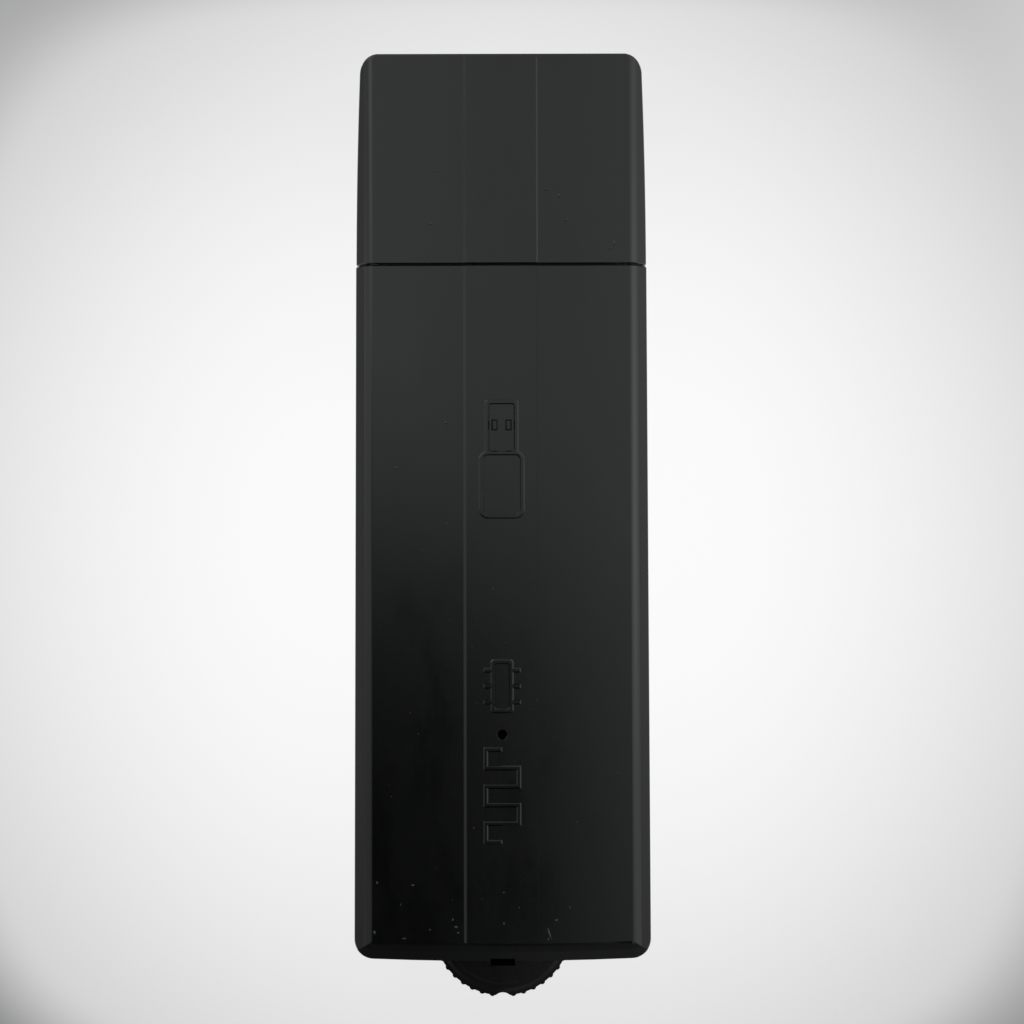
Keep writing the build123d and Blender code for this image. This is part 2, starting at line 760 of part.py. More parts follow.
# ---------------------------------------------------------------- small components
capacitor_places = [(1.6, 6.3), (4.6, 6.3), (8.4, 6.3), (2.2, -5.5), (8.6, -5.5)]
resistor_places = [(-8.4, -17.4), (-6.2, -17.4), (-8.4, -20.4), (-6.2, -20.4), (5.0, -16.0), (7.4, -16.0)]
small_part_corner = 0.1
small_parts = [
    ("ceramic_capacitors", capacitor_places, 1.25, 2.0, 0.9),
    ("resistors", resistor_places, 1.25, 2.0, 0.5),
    ("tantalum_capacitors", [(-8.4, 17.2), (8.4, 17.2)], 2.8, 3.5, 1.9),
    ("fuse", [(-3.5, 11.2)], 1.6, 3.2, 0.7),
]
for part_name, places, size_x, size_y, size_z in small_parts:
    with BuildPart() as small_part:
        with BuildSketch(Plane.XY.offset(board_high_z)):
            with Locations(*places):
                Rectangle(size_x, size_y)
        extrude(amount=size_z)
        fillet(small_part.edges().filter_by(Axis.Z), radius=small_part_corner)
    finish(small_part, part_name)

# ---------------------------------------------------------------- indicators and light pipes
led_y = inner_end_y + 2.6
led_half_width = 1.2
led_front = 0.8
led_back = 0.4
led_rise = 1.0
led_lens_radius = 0.7
led_lens_reach = 0.5
pipe_inner_y = inner_end_y + 1.1
pipe_blend = 0.15
pipe_collar_radius = 1.15
pipe_collar_length = 0.6
for pipe_name, led_name, pipe_x in zip(
    ("power_light_pipe", "activity_light_pipe"), ("power_led", "activity_led"), pipe_places
):
    bow_here = end_bow * (pipe_x / half_width) ** 2
    with BuildPart() as light_pipe:
        with BuildSketch(Plane.XZ.offset(-pipe_inner_y)):
            with Locations((pipe_x, pipe_z)):
                Circle(pipe_radius)
        extrude(amount=pipe_inner_y - lip_y - bow_here)
        fillet(light_pipe.faces().sort_by(Axis.Y)[0].edges(), radius=pipe_blend)
        with BuildSketch(Plane.XZ.offset(-(inner_end_y + pipe_collar_length))):
            with Locations((pipe_x, pipe_z)):
                Circle(pipe_collar_radius)
        extrude(amount=pipe_collar_length)
    finish(light_pipe, pipe_name)

    with BuildPart() as led:
        block(
            (pipe_x - led_half_width, led_y - led_front, board_high_z),
            (pipe_x + led_half_width, led_y + led_back, pipe_z + led_rise),
        )
        with BuildSketch(Plane.XZ.offset(-(led_y - led_front))):
            with Locations((pipe_x, pipe_z)):
                Circle(led_lens_radius)
        extrude(amount=led_lens_reach)
    finish(led, led_name)

# ---------------------------------------------------------------- reset switch
switch_floor = 0.8
switch_floor_z = board_high_z + switch_floor
flange_play = 0.02
flange_thickness = 0.45
flange_high_z = switch_top_z - flange_play
flange_low_z = flange_high_z - flange_thickness
well_radius = 1.6
cover_hole_play = 0.06
plunger_blend = 0.15
leg_reach = 3.4
leg_pitch = 3.0
dome_rise = 0.25
dome_top_z = switch_floor_z + dome_rise
dome_metal = 0.06
dome_radius = 1.45
dome_vent = 0.1

with BuildPart() as reset_switch_base:
    with BuildSketch(Plane.XY.offset(board_high_z)):
        with Locations((0, reset_y)):
            RectangleRounded(switch_size, switch_size, switch_corner)
    extrude(amount=switch_top_z - board_high_z)
    with BuildSketch(Plane.XY.offset(switch_floor_z)):
        with Locations((0, reset_y)):
            Circle(well_radius)
    extrude(amount=switch_top_z - switch_floor_z, mode=Mode.SUBTRACT)
finish(reset_switch_base, "reset_switch_base")

with BuildPart() as reset_switch_cover:
    with BuildSketch(Plane.XY.offset(switch_top_z)):
        with Locations((0, reset_y)):
            RectangleRounded(switch_size, switch_size, switch_corner)
            Circle(plunger_radius + cover_hole_play, mode=Mode.SUBTRACT)
    extrude(amount=switch_cover)
finish(reset_switch_cover, "reset_switch_cover")

with BuildPart() as reset_switch_dome:
    with BuildSketch(Plane.XZ.offset(-reset_y)):
        with BuildLine():
            dome_edge = (dome_radius, switch_floor_z)
            dome_side = (dome_radius / 2, dome_top_z - dome_metal)
            Line((dome_vent, dome_top_z - dome_metal), (dome_vent, dome_top_z))
            ThreePointArc((dome_vent, dome_top_z), dome_side, (dome_edge[0], dome_edge[1] + dome_metal))
            Line((dome_edge[0], dome_edge[1] + dome_metal), dome_edge)
            ThreePointArc(
                dome_edge, (dome_side[0], dome_side[1] - dome_metal), (dome_vent, dome_top_z - dome_metal)
            )
        make_face()
    revolve(axis=Axis((0, reset_y, 0), (0, 0, 1)))
finish(reset_switch_dome, "reset_switch_dome")

with BuildPart() as reset_plunger:
    with BuildSketch(Plane.XY.offset(flange_low_z)):
        with Locations((0, reset_y)):
            Circle(plunger_flange_radius)
    extrude(amount=flange_high_z - flange_low_z)
    with BuildSketch(Plane.XY.offset(flange_low_z)):
        with Locations((0, reset_y)):
            Circle(plunger_radius)
    extrude(amount=plunger_top_z - flange_low_z)
    fillet(reset_plunger.faces().sort_by(Axis.Z)[-1].edges(), radius=plunger_blend)
finish(reset_plunger, "reset_plunger")

chip_leads(
    "reset_switch_legs", (0, reset_y),
    [(side, 2, leg_pitch, switch_size / 2, leg_reach) for side in (right, left)],
)

# ---------------------------------------------------------------- target socket
contact_hole = 0.9
contact_hole_depth = 6.5
lead_in = 0.25
socket_rear_x = socket_face_x + socket_depth
tail_size = 0.5
tail_play = 0.04
leaf_half_width = 0.3
leaf_metal = 0.16
leaf_floor_gap = 0.03
leaf_setback = 0.8
bridge_metal = 0.2
bridge_gap = 0.05
tail_below_board = 0.4
hole_places = [
    (socket_y + (column - 2) * socket_pitch, board_high_z + (row + 0.5) * socket_pitch)
    for row in range(socket_rows)
    for column in range(socket_columns)
]

with BuildPart() as target_socket:
    block(
        (socket_face_x, socket_y - socket_length / 2, board_high_z),
        (socket_rear_x, socket_y + socket_length / 2, board_high_z + socket_height),
    )
    with BuildSketch(Plane.YZ.offset(socket_face_x)):
        with Locations(*hole_places):
            Rectangle(contact_hole, contact_hole)
    extrude(amount=contact_hole_depth, mode=Mode.SUBTRACT)
    face_edges = target_socket.faces().filter_by(Axis.X).sort_by(Axis.X)[0].inner_wires().edges()
    chamfer(face_edges, length=lead_in)
    with BuildSketch(Plane.YZ.offset(socket_face_x + contact_hole_depth)):
        with Locations(*hole_places):
            Rectangle(tail_size + tail_play, tail_size + tail_play)
    extrude(amount=socket_depth, mode=Mode.SUBTRACT)
finish(target_socket, "target_socket")

with BuildPart() as target_contacts:
    bridge_high_x = socket_face_x + contact_hole_depth - bridge_gap
    bridge_low_x = bridge_high_x - bridge_metal
    for index, (y, z) in enumerate(hole_places):
        tail_x = tail_first_x + (index // socket_columns) * tail_pitch_x
        tail_low_y = y - tail_size / 2
        tail_high_y = y + tail_size / 2
        tail_low_z = z - tail_size / 2
        tail_high_z = z + tail_size / 2
        leaf_low_z = z - contact_hole / 2 + leaf_floor_gap
        block(
            (socket_face_x + leaf_setback, y - leaf_half_width, leaf_low_z),
            (bridge_high_x, y + leaf_half_width, leaf_low_z + leaf_metal),
        )
        block((bridge_low_x, tail_low_y, leaf_low_z), (bridge_high_x, tail_high_y, tail_high_z))
        block((bridge_low_x, tail_low_y, tail_low_z), (tail_x + tail_size / 2, tail_high_y, tail_high_z))
        block(
            (tail_x - tail_size / 2, tail_low_y, board_low_z - tail_below_board),
            (tail_x + tail_size / 2, tail_high_y, tail_high_z),
        )
finish(target_contacts, "target_contacts")

# ---------------------------------------------------------------- selector wheel
notch_radius = 0.87
notch_depth = 0.25
recess_radius = 4.7
recess_depth = 0.12
hub_radius = 1.6
hub_high_z = axle_boss_low_z - 0.1
pointer_low = 2.3
pointer_high = 3.25
pointer_half = 1.0
pointer_sink = 0.6
rim_chamfer = 0.2

with BuildPart() as thumbwheel:
    with BuildSketch(Plane.XY.offset(wheel_low_z)):
        with Locations((0, wheel_y)):
            Circle(wheel_body_radius)
            with PolarLocations(
                ridge_orbit, ridge_places - 1, start_angle=-90 + ridge_pitch,
                angular_range=360 - 2 * ridge_pitch, endpoint=True,
            ):
                Circle(ridge_radius)
        with Locations((0, wheel_y - wheel_body_radius + notch_depth - notch_radius)):
            Circle(notch_radius, mode=Mode.SUBTRACT)
    extrude(amount=knurl_high_z - wheel_low_z)
    # Lower outer edge turned down to a cone.
    with BuildSketch(Plane.XZ.offset(-wheel_y)):
        with BuildLine():
            Polyline(
                (wheel_radius - rim_chamfer, wheel_low_z), (wheel_radius + rim_chamfer, wheel_low_z),
                (wheel_radius + rim_chamfer, wheel_low_z + 2 * rim_chamfer), close=True,
            )
        make_face()
    revolve(axis=Axis((0, wheel_y, 0), (0, 0, 1)), mode=Mode.SUBTRACT)
    # The face stands above the knurled ring, with a bevelled edge.
    with BuildSketch(Plane.XY.offset(knurl_high_z)):
        with Locations((0, wheel_y)):
            Circle(wheel_face_radius)
    extrude(amount=wheel_high_z - knurl_high_z)
    chamfer(thumbwheel.faces().sort_by(Axis.Z)[-1].edges(), length=wheel_face_chamfer)
    # Recessed middle of the face, the hub and the pointer slot.
    with BuildSketch(Plane.XY.offset(wheel_high_z - recess_depth)):
        with Locations((0, wheel_y)):
            Circle(recess_radius)
    extrude(amount=recess_depth, mode=Mode.SUBTRACT)
    with BuildSketch(Plane.XY.offset(wheel_high_z - recess_depth)):
        with Locations((0, wheel_y)):
            Circle(hub_radius)
    extrude(amount=hub_high_z - wheel_high_z + recess_depth)
    slab(
        (-pointer_half, wheel_y - pointer_high, wheel_high_z - recess_depth - pointer_sink),
        (pointer_half, wheel_y - pointer_low, wheel_high_z),
    )
    with Locations((0, wheel_y, 0)):
        Cylinder(
            wheel_bore_radius, thickness, align=(Align.CENTER, Align.CENTER, Align.MIN), mode=Mode.SUBTRACT,
        )
finish(thumbwheel, "thumbwheel")

# ---------------------------------------------------------------- selector under the wheel
axle_end_gap = 0.03
axle_chamfer = 0.15
selector_radius = 4.3
selector_high_z = 6.0
disc_radius = 3.7
disc_hole_play = 0.4
disc_thickness = 0.15
outer_windows = 10
outer_window = (0.6, 0.9)
inner_windows = 5
inner_window = (0.5, 0.8)
finger_orbits = [1.9, 2.6, 3.3]
finger_width = 0.45
finger_length = 2.2
finger_metal = 0.14
finger_gap = 0.03

with BuildPart() as selector_base:
    with BuildSketch(Plane.XY.offset(board_high_z)):
        with Locations((0, wheel_y)):
            Circle(selector_radius)
            Circle(axle_radius + axle_fit, mode=Mode.SUBTRACT)
        with Locations((0, board_rear_y)):
            Rectangle(
                4 * selector_radius, 2 * selector_radius,
                align=(Align.CENTER, Align.MAX), mode=Mode.SUBTRACT,
            )
    extrude(amount=selector_high_z - board_high_z)
finish(selector_base, "selector_base")

with BuildPart() as wheel_axle:
    with BuildSketch(Plane.XY.offset(board_high_z + axle_end_gap)):
        with Locations((0, wheel_y)):
            Circle(axle_radius)
    extrude(amount=axle_high_z - board_high_z - 2 * axle_end_gap)
    chamfer(wheel_axle.edges().filter_by(GeomType.CIRCLE), length=axle_chamfer)
finish(wheel_axle, "wheel_axle")

# Coded disc on the underside of the wheel, with a ring of windows that make the code.
with BuildPart() as contact_disc:
    with BuildSketch(Plane.XY.offset(wheel_low_z - disc_thickness)):
        with Locations((0, wheel_y)):
            Circle(disc_radius)
            Circle(axle_radius + disc_hole_play, mode=Mode.SUBTRACT)
            with PolarLocations(finger_orbits[2], outer_windows):
                Rectangle(*outer_window, mode=Mode.SUBTRACT)
            with PolarLocations(finger_orbits[1], inner_windows):
                Rectangle(*inner_window, mode=Mode.SUBTRACT)
    extrude(amount=disc_thickness)
finish(contact_disc, "contact_disc")

# Spring fingers on the base, one for each track of the disc.
with BuildPart() as contact_fingers:
    finger_tip_z = wheel_low_z - disc_thickness - finger_gap
    for orbit in finger_orbits:
        finger_y = wheel_y + orbit
        block(
            (-finger_length / 2, finger_y - finger_width / 2, selector_high_z),
            (finger_length / 2, finger_y + finger_width / 2, selector_high_z + finger_metal),
        )
        block(
            (finger_length / 2 - finger_metal, finger_y - finger_width / 2, selector_high_z),
            (finger_length / 2, finger_y + finger_width / 2, finger_tip_z),
        )
        block(
            (0, finger_y - finger_width / 2, finger_tip_z - finger_metal),
            (finger_length / 2, finger_y + finger_width / 2, finger_tip_z),
        )
finish(contact_fingers, "contact_fingers")

# ---------------------------------------------------------------- detent spring
leaf_thickness = 0.18
spring_low_z = 7.2
spring_high_z = 8.7
nose_half_width = 0.9
nose_depth = 0.55
nose_gap = 0.08
leaf_end_x = detent_post_x - detent_post_size / 2
leaf_nose_y = wheel_y + wheel_radius + nose_gap

with BuildPart() as detent_spring:
    with BuildSketch(Plane.XY.offset(spring_low_z)):
        with BuildLine() as leaf_line:
            Polyline(
                (-leaf_end_x, detent_post_y), (-nose_half_width, leaf_nose_y + nose_depth),
                (0, leaf_nose_y + leaf_thickness / 2),
                (nose_half_width, leaf_nose_y + nose_depth), (leaf_end_x, detent_post_y),
            )
        trace(leaf_line.line, line_width=leaf_thickness)
    extrude(amount=spring_high_z - spring_low_z)
finish(detent_spring, "detent_spring")

print(f"total length {total_length:.3f}, seam y {seam_y:.3f}, lip y {lip_y:.3f}")
print(f"wheel axis y {wheel_y:.3f}, reset hole y {reset_y:.3f}, plug tip y {plug_tip_y:.3f}")
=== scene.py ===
# %% [markdown]
# # A pocket programmer and its plain white table
# The object is a black plastic stick: a body of two moulded shells, a pull-off cap over a USB
# plug, and a knurled wheel that stands out of the far end. The mechanical model already holds
# every part at its real size. This lesson gives the parts their finishes, adds the small things
# that a moulding shop and a pocket leave on them, and lights them softly from above.

# %% Load the mechanical model as a fixed frame
import json
import math
import random

import bmesh
import bpy
from mathutils import Matrix, Vector


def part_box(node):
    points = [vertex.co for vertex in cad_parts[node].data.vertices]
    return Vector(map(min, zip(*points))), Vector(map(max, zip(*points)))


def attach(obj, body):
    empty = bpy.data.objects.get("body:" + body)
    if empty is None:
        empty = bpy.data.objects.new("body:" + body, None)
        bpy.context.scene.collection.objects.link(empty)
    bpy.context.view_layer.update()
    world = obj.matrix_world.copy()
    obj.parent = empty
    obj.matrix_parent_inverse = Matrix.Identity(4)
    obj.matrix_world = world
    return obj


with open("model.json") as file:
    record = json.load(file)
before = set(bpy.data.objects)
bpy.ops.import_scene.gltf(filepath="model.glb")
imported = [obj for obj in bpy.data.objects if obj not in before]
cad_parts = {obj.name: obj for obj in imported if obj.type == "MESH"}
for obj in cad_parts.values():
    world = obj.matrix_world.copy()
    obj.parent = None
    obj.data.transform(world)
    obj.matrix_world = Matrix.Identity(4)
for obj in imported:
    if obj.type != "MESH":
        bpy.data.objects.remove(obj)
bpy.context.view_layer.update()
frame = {"nodes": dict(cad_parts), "record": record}
NODES = frame["nodes"]
MM = 0.001
CASE_THICKNESS = 11.0 * MM

# %% [markdown]
# ## Places on the object
# Everything that is added later is put where the mechanical model says. The corners of the wheel
# give its axis. The broad face of the case has a height of its own, below the raised band.

# %% Read the places that the pieces need
wheel_low, wheel_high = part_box("thumbwheel")
wheel_x = (wheel_low.x + wheel_high.x) / 2
wheel_radius = (wheel_high.x - wheel_low.x) / 2
wheel_y = wheel_high.y - wheel_radius
print("wheel axis", round(wheel_x / MM, 3), round(wheel_y / MM, 3))

# %% [markdown]
# ## The camera
# The stick is looked at from nearly straight above its broad face, from a hand's breadth away, so
# its near end looks a little wider than its far one. A long lens keeps the sides nearly parallel.

# %% Place the camera over the face
CAMERA_DISTANCE = 0.25
CAMERA_ELEVATION = math.radians(86.52)
CAMERA_ROLL = math.radians(-0.14)
CAMERA_TARGET = Vector((0.84, 0.90, 9.0)) * MM
CAMERA_LENS = 106.5


def aim(target, distance, elevation, roll):
    """World matrix of a camera that looks along +Y and down at a target."""
    forward = Vector((0, math.cos(elevation), -math.sin(elevation)))
    level = Vector((1, 0, 0))
    upright = level.cross(forward)
    right = level * math.cos(roll) + upright * math.sin(roll)
    up = upright * math.cos(roll) - level * math.sin(roll)
    place = Matrix((right, up, -forward)).transposed().to_4x4()
    place.translation = target - forward * distance
    return place


camera_data = bpy.data.cameras.new("camera")
camera_data.lens = CAMERA_LENS
camera_data.sensor_width = 36.0
camera_data.clip_start = 0.01
camera_data.dof.use_dof = False
camera = bpy.data.objects.new("camera", camera_data)
camera.matrix_world = aim(CAMERA_TARGET, CAMERA_DISTANCE, CAMERA_ELEVATION, CAMERA_ROLL)
bpy.context.scene.collection.objects.link(camera)
bpy.context.scene.camera = camera
print("camera at", [round(v / MM, 1) for v in camera.location])

# %% [markdown]
# ## Shader sums written as sums
# A finish is a small program made of nodes. Wiring a node for each plus and times hides the idea,
# so one class stands for a socket and answers to +, -, * and /. A second class makes any other
# node from its type, its settings and what goes into its sockets.

# %% A socket that can be added and multiplied
class Wire:
    """One output socket, usable in sums and products."""

    def __init__(self, tree, socket):
        self.tree = tree
        self.socket = socket

    def math(self, operation, *terms):
        settings = {"operation": operation}
        return self.tree.node("ShaderNodeMath", settings, dict(enumerate(terms)))

    def __add__(self, other):
        return self.math("ADD", self, other)

    def __sub__(self, other):
        return self.math("SUBTRACT", self, other)

    def __rsub__(self, other):
        return self.math("SUBTRACT", other, self)

    def __mul__(self, other):
        return self.math("MULTIPLY", self, other)

    def __truediv__(self, other):
        return self.math("DIVIDE", self, other)

    def __pow__(self, other):
        return self.math("POWER", self, other)

    __radd__ = __add__
    __rmul__ = __mul__

    def ramp(self, low, high):
        """0 below low, 1 above high and smooth between."""
        return self.tree.node(
            "ShaderNodeMapRange", {"interpolation_type": "SMOOTHSTEP"}, {0: self, 1: low, 2: high}
        )


# %% A shader tree that makes its nodes by one method
class Tree:
    """The node tree of a material or of the world."""

    def __init__(self, owner, clear=True):
        owner.use_nodes = True
        self.nodes = owner.node_tree.nodes
        self.links = owner.node_tree.links
        if clear:
            self.nodes.clear()

    def node(self, kind, settings=None, sockets=None, output=0, stops=None):
        """Make a node, fill its sockets with numbers or wires, and return one output."""
        made = self.nodes.new(kind)
        for name, value in (settings or {}).items():
            setattr(made, name, value)
        for element, (place, color) in zip(self.make_room(made, stops), stops or []):
            element.position = place
            element.color = color
        for name, value in (sockets or {}).items():
            if isinstance(value, Wire):
                self.links.new(value.socket, made.inputs[name])
            else:
                made.inputs[name].default_value = value
        return Wire(self, made.outputs[output]) if len(made.outputs) else made

    def make_room(self, made, stops):
        """The elements of a color ramp, as many as its stops."""
        if not stops:
            return []
        while len(made.color_ramp.elements) < len(stops):
            made.color_ramp.elements.new(0.5)
        return made.color_ramp.elements

    def mix(self, factor, first, second):
        """Blend two colors."""
        return self.node(
            "ShaderNodeMix", {"data_type": "RGBA"}, {0: factor, 6: first, 7: second}, output=2
        )

    def grey(self, level):
        """A grey color from one number."""
        return self.node("ShaderNodeCombineColor", {}, {0: level, 1: level, 2: level})

    def place(self, scale=(1, 1, 1)):
        """Object coordinates, stretched by a scale for each axis."""
        where = self.node("ShaderNodeTexCoord", output="Object")
        return self.node("ShaderNodeMapping", {}, {"Vector": where, "Scale": scale})

    def noise(self, where, scale, detail=2.0, roughness=0.5, output=0):
        return self.node(
            "ShaderNodeTexNoise", {},
            {"Vector": where, "Scale": scale, "Detail": detail, "Roughness": roughness}, output=output,
        )

    def axes(self, where):
        """The three numbers of a vector."""
        split = self.node("ShaderNodeSeparateXYZ", {}, {0: where})
        return split, Wire(self, split.socket.node.outputs[1]), Wire(self, split.socket.node.outputs[2])


# %% [markdown]
# ## A black moulded plastic
# The case is injection moulded in black plastic from a finely spark-eroded mould. Seen straight
# on it is nearly black, and what shows is the light that its satin skin reflects. The finish has
# a very dark color, a fine grain, faint flow clouds, and rubbed places where fingers have
# polished it. The grain changes the roughness and tilts the surface a little.

# The walls and floor of the slot in the wheel's face get a near-black matt finish. It is painted shade for
# the shadow that the slot holds.

# %% Finish the moulded plastics
def color(red, green, blue, alpha=1.0):
    return (red, green, blue, alpha)


def surface(name, build):
    """Make a material whose Principled shader is fed by build(tree, sockets)."""
    material = bpy.data.materials.new(name)
    tree = Tree(material)
    sockets = {}
    build(tree, sockets)
    shader = tree.node("ShaderNodeBsdfPrincipled", {}, sockets)
    tree.node("ShaderNodeOutputMaterial", {}, {"Surface": shader})
    return material


def bump(tree, height, distance, strength=1.0):
    return tree.node("ShaderNodeBump", {}, {"Height": height, "Distance": distance, "Strength": strength})


def moulded_plastic(tint, gloss, grain_depth, grain_scale):
    """A satin plastic of a given color, roughness and spark-eroded grain."""

    def build(tree, sockets):
        where = tree.place()
        grain = tree.noise(where, grain_scale, 3.0, 0.6)
        clouds = tree.noise(tree.place((90, 30, 90)), 1.0, 3.0, 0.55)
        rubbed = tree.noise(tree.place((260, 110, 260)), 1.0, 4.0, 0.6).ramp(0.45, 0.75)
        fleck = tree.node("ShaderNodeTexVoronoi", {}, {"Vector": where, "Scale": 900.0})
        pit = 1 - fleck.ramp(0.05, 0.11)
        darker = color(*[0.6 * c for c in tint])
        sockets["Base Color"] = tree.mix(clouds.ramp(0.3, 0.7), color(*tint), darker)
        sockets["Roughness"] = gloss + 0.05 * (grain - 0.5) + 0.03 * (clouds - 0.5) - 0.03 * rubbed
        sockets["Normal"] = bump(tree, grain - 0.6 * pit, grain_depth)
        sockets["IOR"] = 1.5

    return build


SLOT_HALF_WIDTH = 1.02 * MM
SLOT_HALF_LENGTH = 0.25 * MM
SLOT_MIDDLE_Y = wheel_y - 3.01 * MM
SLOT_HIGH_Z = 8.87 * MM


def cover_with(material, sockets, mask):
    """Put a second, plain finish over a material where mask(tree) is 1."""
    tree = Tree(material, clear=False)
    output = next(node for node in tree.nodes if node.type == "OUTPUT_MATERIAL")
    first = Wire(tree, output.inputs["Surface"].links[0].from_socket)
    second = tree.node("ShaderNodeBsdfPrincipled", {}, sockets)
    mixed = tree.node("ShaderNodeMixShader", {}, {0: mask(tree), 1: first, 2: second})
    tree.links.new(mixed.socket, output.inputs["Surface"])


def slot_shade_mask(tree):
    """1 on the walls and floor of the slot in the wheel's face, where the slot's shade is painted."""
    where = tree.node("ShaderNodeTexCoord", output="Object")
    split = tree.node("ShaderNodeSeparateXYZ", {}, {0: where})
    depth = Wire(tree, split.socket.node.outputs[2])
    along = Wire(tree, split.socket.node.outputs[1])
    beside = split.math("LESS_THAN", split.math("ABSOLUTE", split), SLOT_HALF_WIDTH)
    between = along.math("LESS_THAN", along.math("ABSOLUTE", along - SLOT_MIDDLE_Y), SLOT_HALF_LENGTH)
    return beside * between * depth.math("LESS_THAN", depth, SLOT_HIGH_Z)


PLASTICS = {
    "case_plastic": ((0.0018, 0.0020, 0.0019), 0.135, 0.0000005, 5200.0),
    "wheel_plastic": ((0.0022, 0.0023, 0.0018), 0.14, 0.0000010, 4200.0),
    "socket_plastic": ((0.006, 0.006, 0.006), 0.42, 0.000003, 6000.0),
    "chip_plastic": ((0.010, 0.010, 0.011), 0.55, 0.000006, 7000.0),
    "white_plastic": ((0.70, 0.69, 0.66), 0.40, 0.000003, 6000.0),
    "tantalum_plastic": ((0.62, 0.30, 0.03), 0.45, 0.000003, 6000.0),
}
plastics = {name: surface(name, moulded_plastic(*settings)) for name, settings in PLASTICS.items()}
# Near-black matt colour painted into the wheel's slot as painted shade.
painted_shade = {"Base Color": color(0.0015, 0.0015, 0.0015), "Roughness": 0.9, "Specular IOR Level": 0.0}
cover_with(plastics["wheel_plastic"], painted_shade, slot_shade_mask)
print("plastics", sorted(plastics))

# %% [markdown]
# ## Metals
# The plug shell, the switch cover and the springs are stamped from bright strip, which keeps fine
# lines from rolling. The contacts are plated with gold. A stretched noise gives the rolling lines
# and a second one the dull finger marks that plated parts pick up.

# %% Finish the metals
def rolled_metal(tint, gloss, stretch):
    """A metal strip whose rolling lines run along the axis with the smallest stretch."""

    def build(tree, sockets):
        lines = tree.noise(tree.place(stretch), 1.0, 4.0, 0.65)
        marks = tree.noise(tree.place((400, 400, 400)), 1.0, 3.0, 0.6).ramp(0.4, 0.75)
        duller = color(*[0.82 * c for c in tint])
        sockets["Base Color"] = tree.mix(marks, color(*tint), duller)
        sockets["Metallic"] = 1.0
        sockets["Roughness"] = gloss + 0.10 * (lines - 0.5) + 0.08 * marks
        sockets["Normal"] = bump(tree, lines, 0.0000012)

    return build


ALONG_Y = (24000, 900, 24000)
ALONG_Z = (20000, 20000, 1200)
plug_steel = surface("plug_steel", rolled_metal((0.62, 0.61, 0.59), 0.24, ALONG_Y))
spring_steel = surface("spring_steel", rolled_metal((0.52, 0.52, 0.51), 0.28, ALONG_Y))
axle_steel = surface("axle_steel", rolled_metal((0.56, 0.56, 0.55), 0.22, ALONG_Z))
screw_steel = surface("screw_steel", rolled_metal((0.075, 0.075, 0.078), 0.34, ALONG_Z))
tinned_copper = surface("tinned_copper", rolled_metal((0.60, 0.60, 0.58), 0.38, ALONG_Y))
gold_plate = surface("gold_plate", rolled_metal((0.78, 0.54, 0.20), 0.24, ALONG_Y))

# %% [markdown]
# ## The rest of the electronics
# Hidden in the case are a green board with its copper tracks under solder mask, fired ceramic
# parts and milky indicators. They show only where the case is open, so their finishes are small:
# a weave of tracks for the board, a speckle for the ceramics, a clear resin for the pipes.

# %% Finish the board, the ceramics and the clear parts
def solder_mask(tree, sockets):
    where = tree.place()
    tracks = tree.node(
        "ShaderNodeTexBrick", {"offset": 0.37, "squash": 0.6},
        {"Vector": where, "Scale": 420.0, "Mortar Size": 0.06, "Color1": color(0, 0, 0),
         "Color2": color(0, 0, 0), "Mortar": color(1, 1, 1)},
    )
    weave = tree.noise(where, 9000.0)
    sockets["Base Color"] = tree.mix(tracks, color(0.006, 0.075, 0.022), color(0.016, 0.13, 0.04))
    sockets["Roughness"] = 0.30 + 0.1 * (weave - 0.5)
    sockets["Normal"] = bump(tree, tracks, 0.00002)


def speckled(tint, gloss):
    def build(tree, sockets):
        specks = tree.noise(tree.place(), 14000.0, 2.0)
        darker = color(*[0.75 * c for c in tint])
        sockets["Base Color"] = tree.mix(specks, color(*tint), darker)
        sockets["Roughness"] = gloss + 0.15 * (specks - 0.5)
        sockets["Normal"] = bump(tree, specks, 0.000004)

    return build


def clear_resin(tree, sockets):
    ripple = tree.noise(tree.place(), 1800.0, 2.0)
    sockets["Base Color"] = tree.mix(ripple, color(0.90, 0.93, 0.92), color(0.82, 0.86, 0.85))
    sockets["Roughness"] = 0.10 + 0.08 * ripple
    sockets["Transmission Weight"] = 0.85
    sockets["IOR"] = 1.49
    sockets["Normal"] = bump(tree, ripple, 0.000004)


board_mask = surface("board_mask", solder_mask)
ceramic = surface("ceramic", speckled((0.36, 0.24, 0.15), 0.5))
resistor_glaze = surface("resistor_glaze", speckled((0.012, 0.012, 0.014), 0.35))
fuse_resin = surface("fuse_resin", speckled((0.05, 0.16, 0.07), 0.4))
led_resin = surface("led_resin", speckled((0.78, 0.77, 0.66), 0.3))
pipe_resin = surface("pipe_resin", clear_resin)

# %% Give each record slot its finish
FINISH = {
    "case_plastic": plastics["case_plastic"], "wheel_plastic": plastics["wheel_plastic"],
    "plug_insulator": plastics["white_plastic"], "tantalum_mould": plastics["tantalum_plastic"],
    "chip_plastic": plastics["chip_plastic"], "plunger_plastic": plastics["chip_plastic"],
    "socket_plastic": plastics["socket_plastic"], "plug_steel": plug_steel,
    "switch_cover_steel": plug_steel, "gold_contacts": gold_plate, "board": board_mask,
    "tinned_leads": tinned_copper, "can_steel": spring_steel, "ceramic": ceramic,
    "resistor_film": resistor_glaze,
    "fuse_film": fuse_resin, "led_lens": led_resin, "pipe_clear": pipe_resin,
    "screw_steel": screw_steel, "axle_steel": axle_steel, "spring_steel": spring_steel,
}
for subpart in frame["record"]["subparts"]:
    node_object = NODES[subpart["node"]]
    for slot_holder in node_object.material_slots:
        slot_holder.material = FINISH[subpart["material_slot"]]
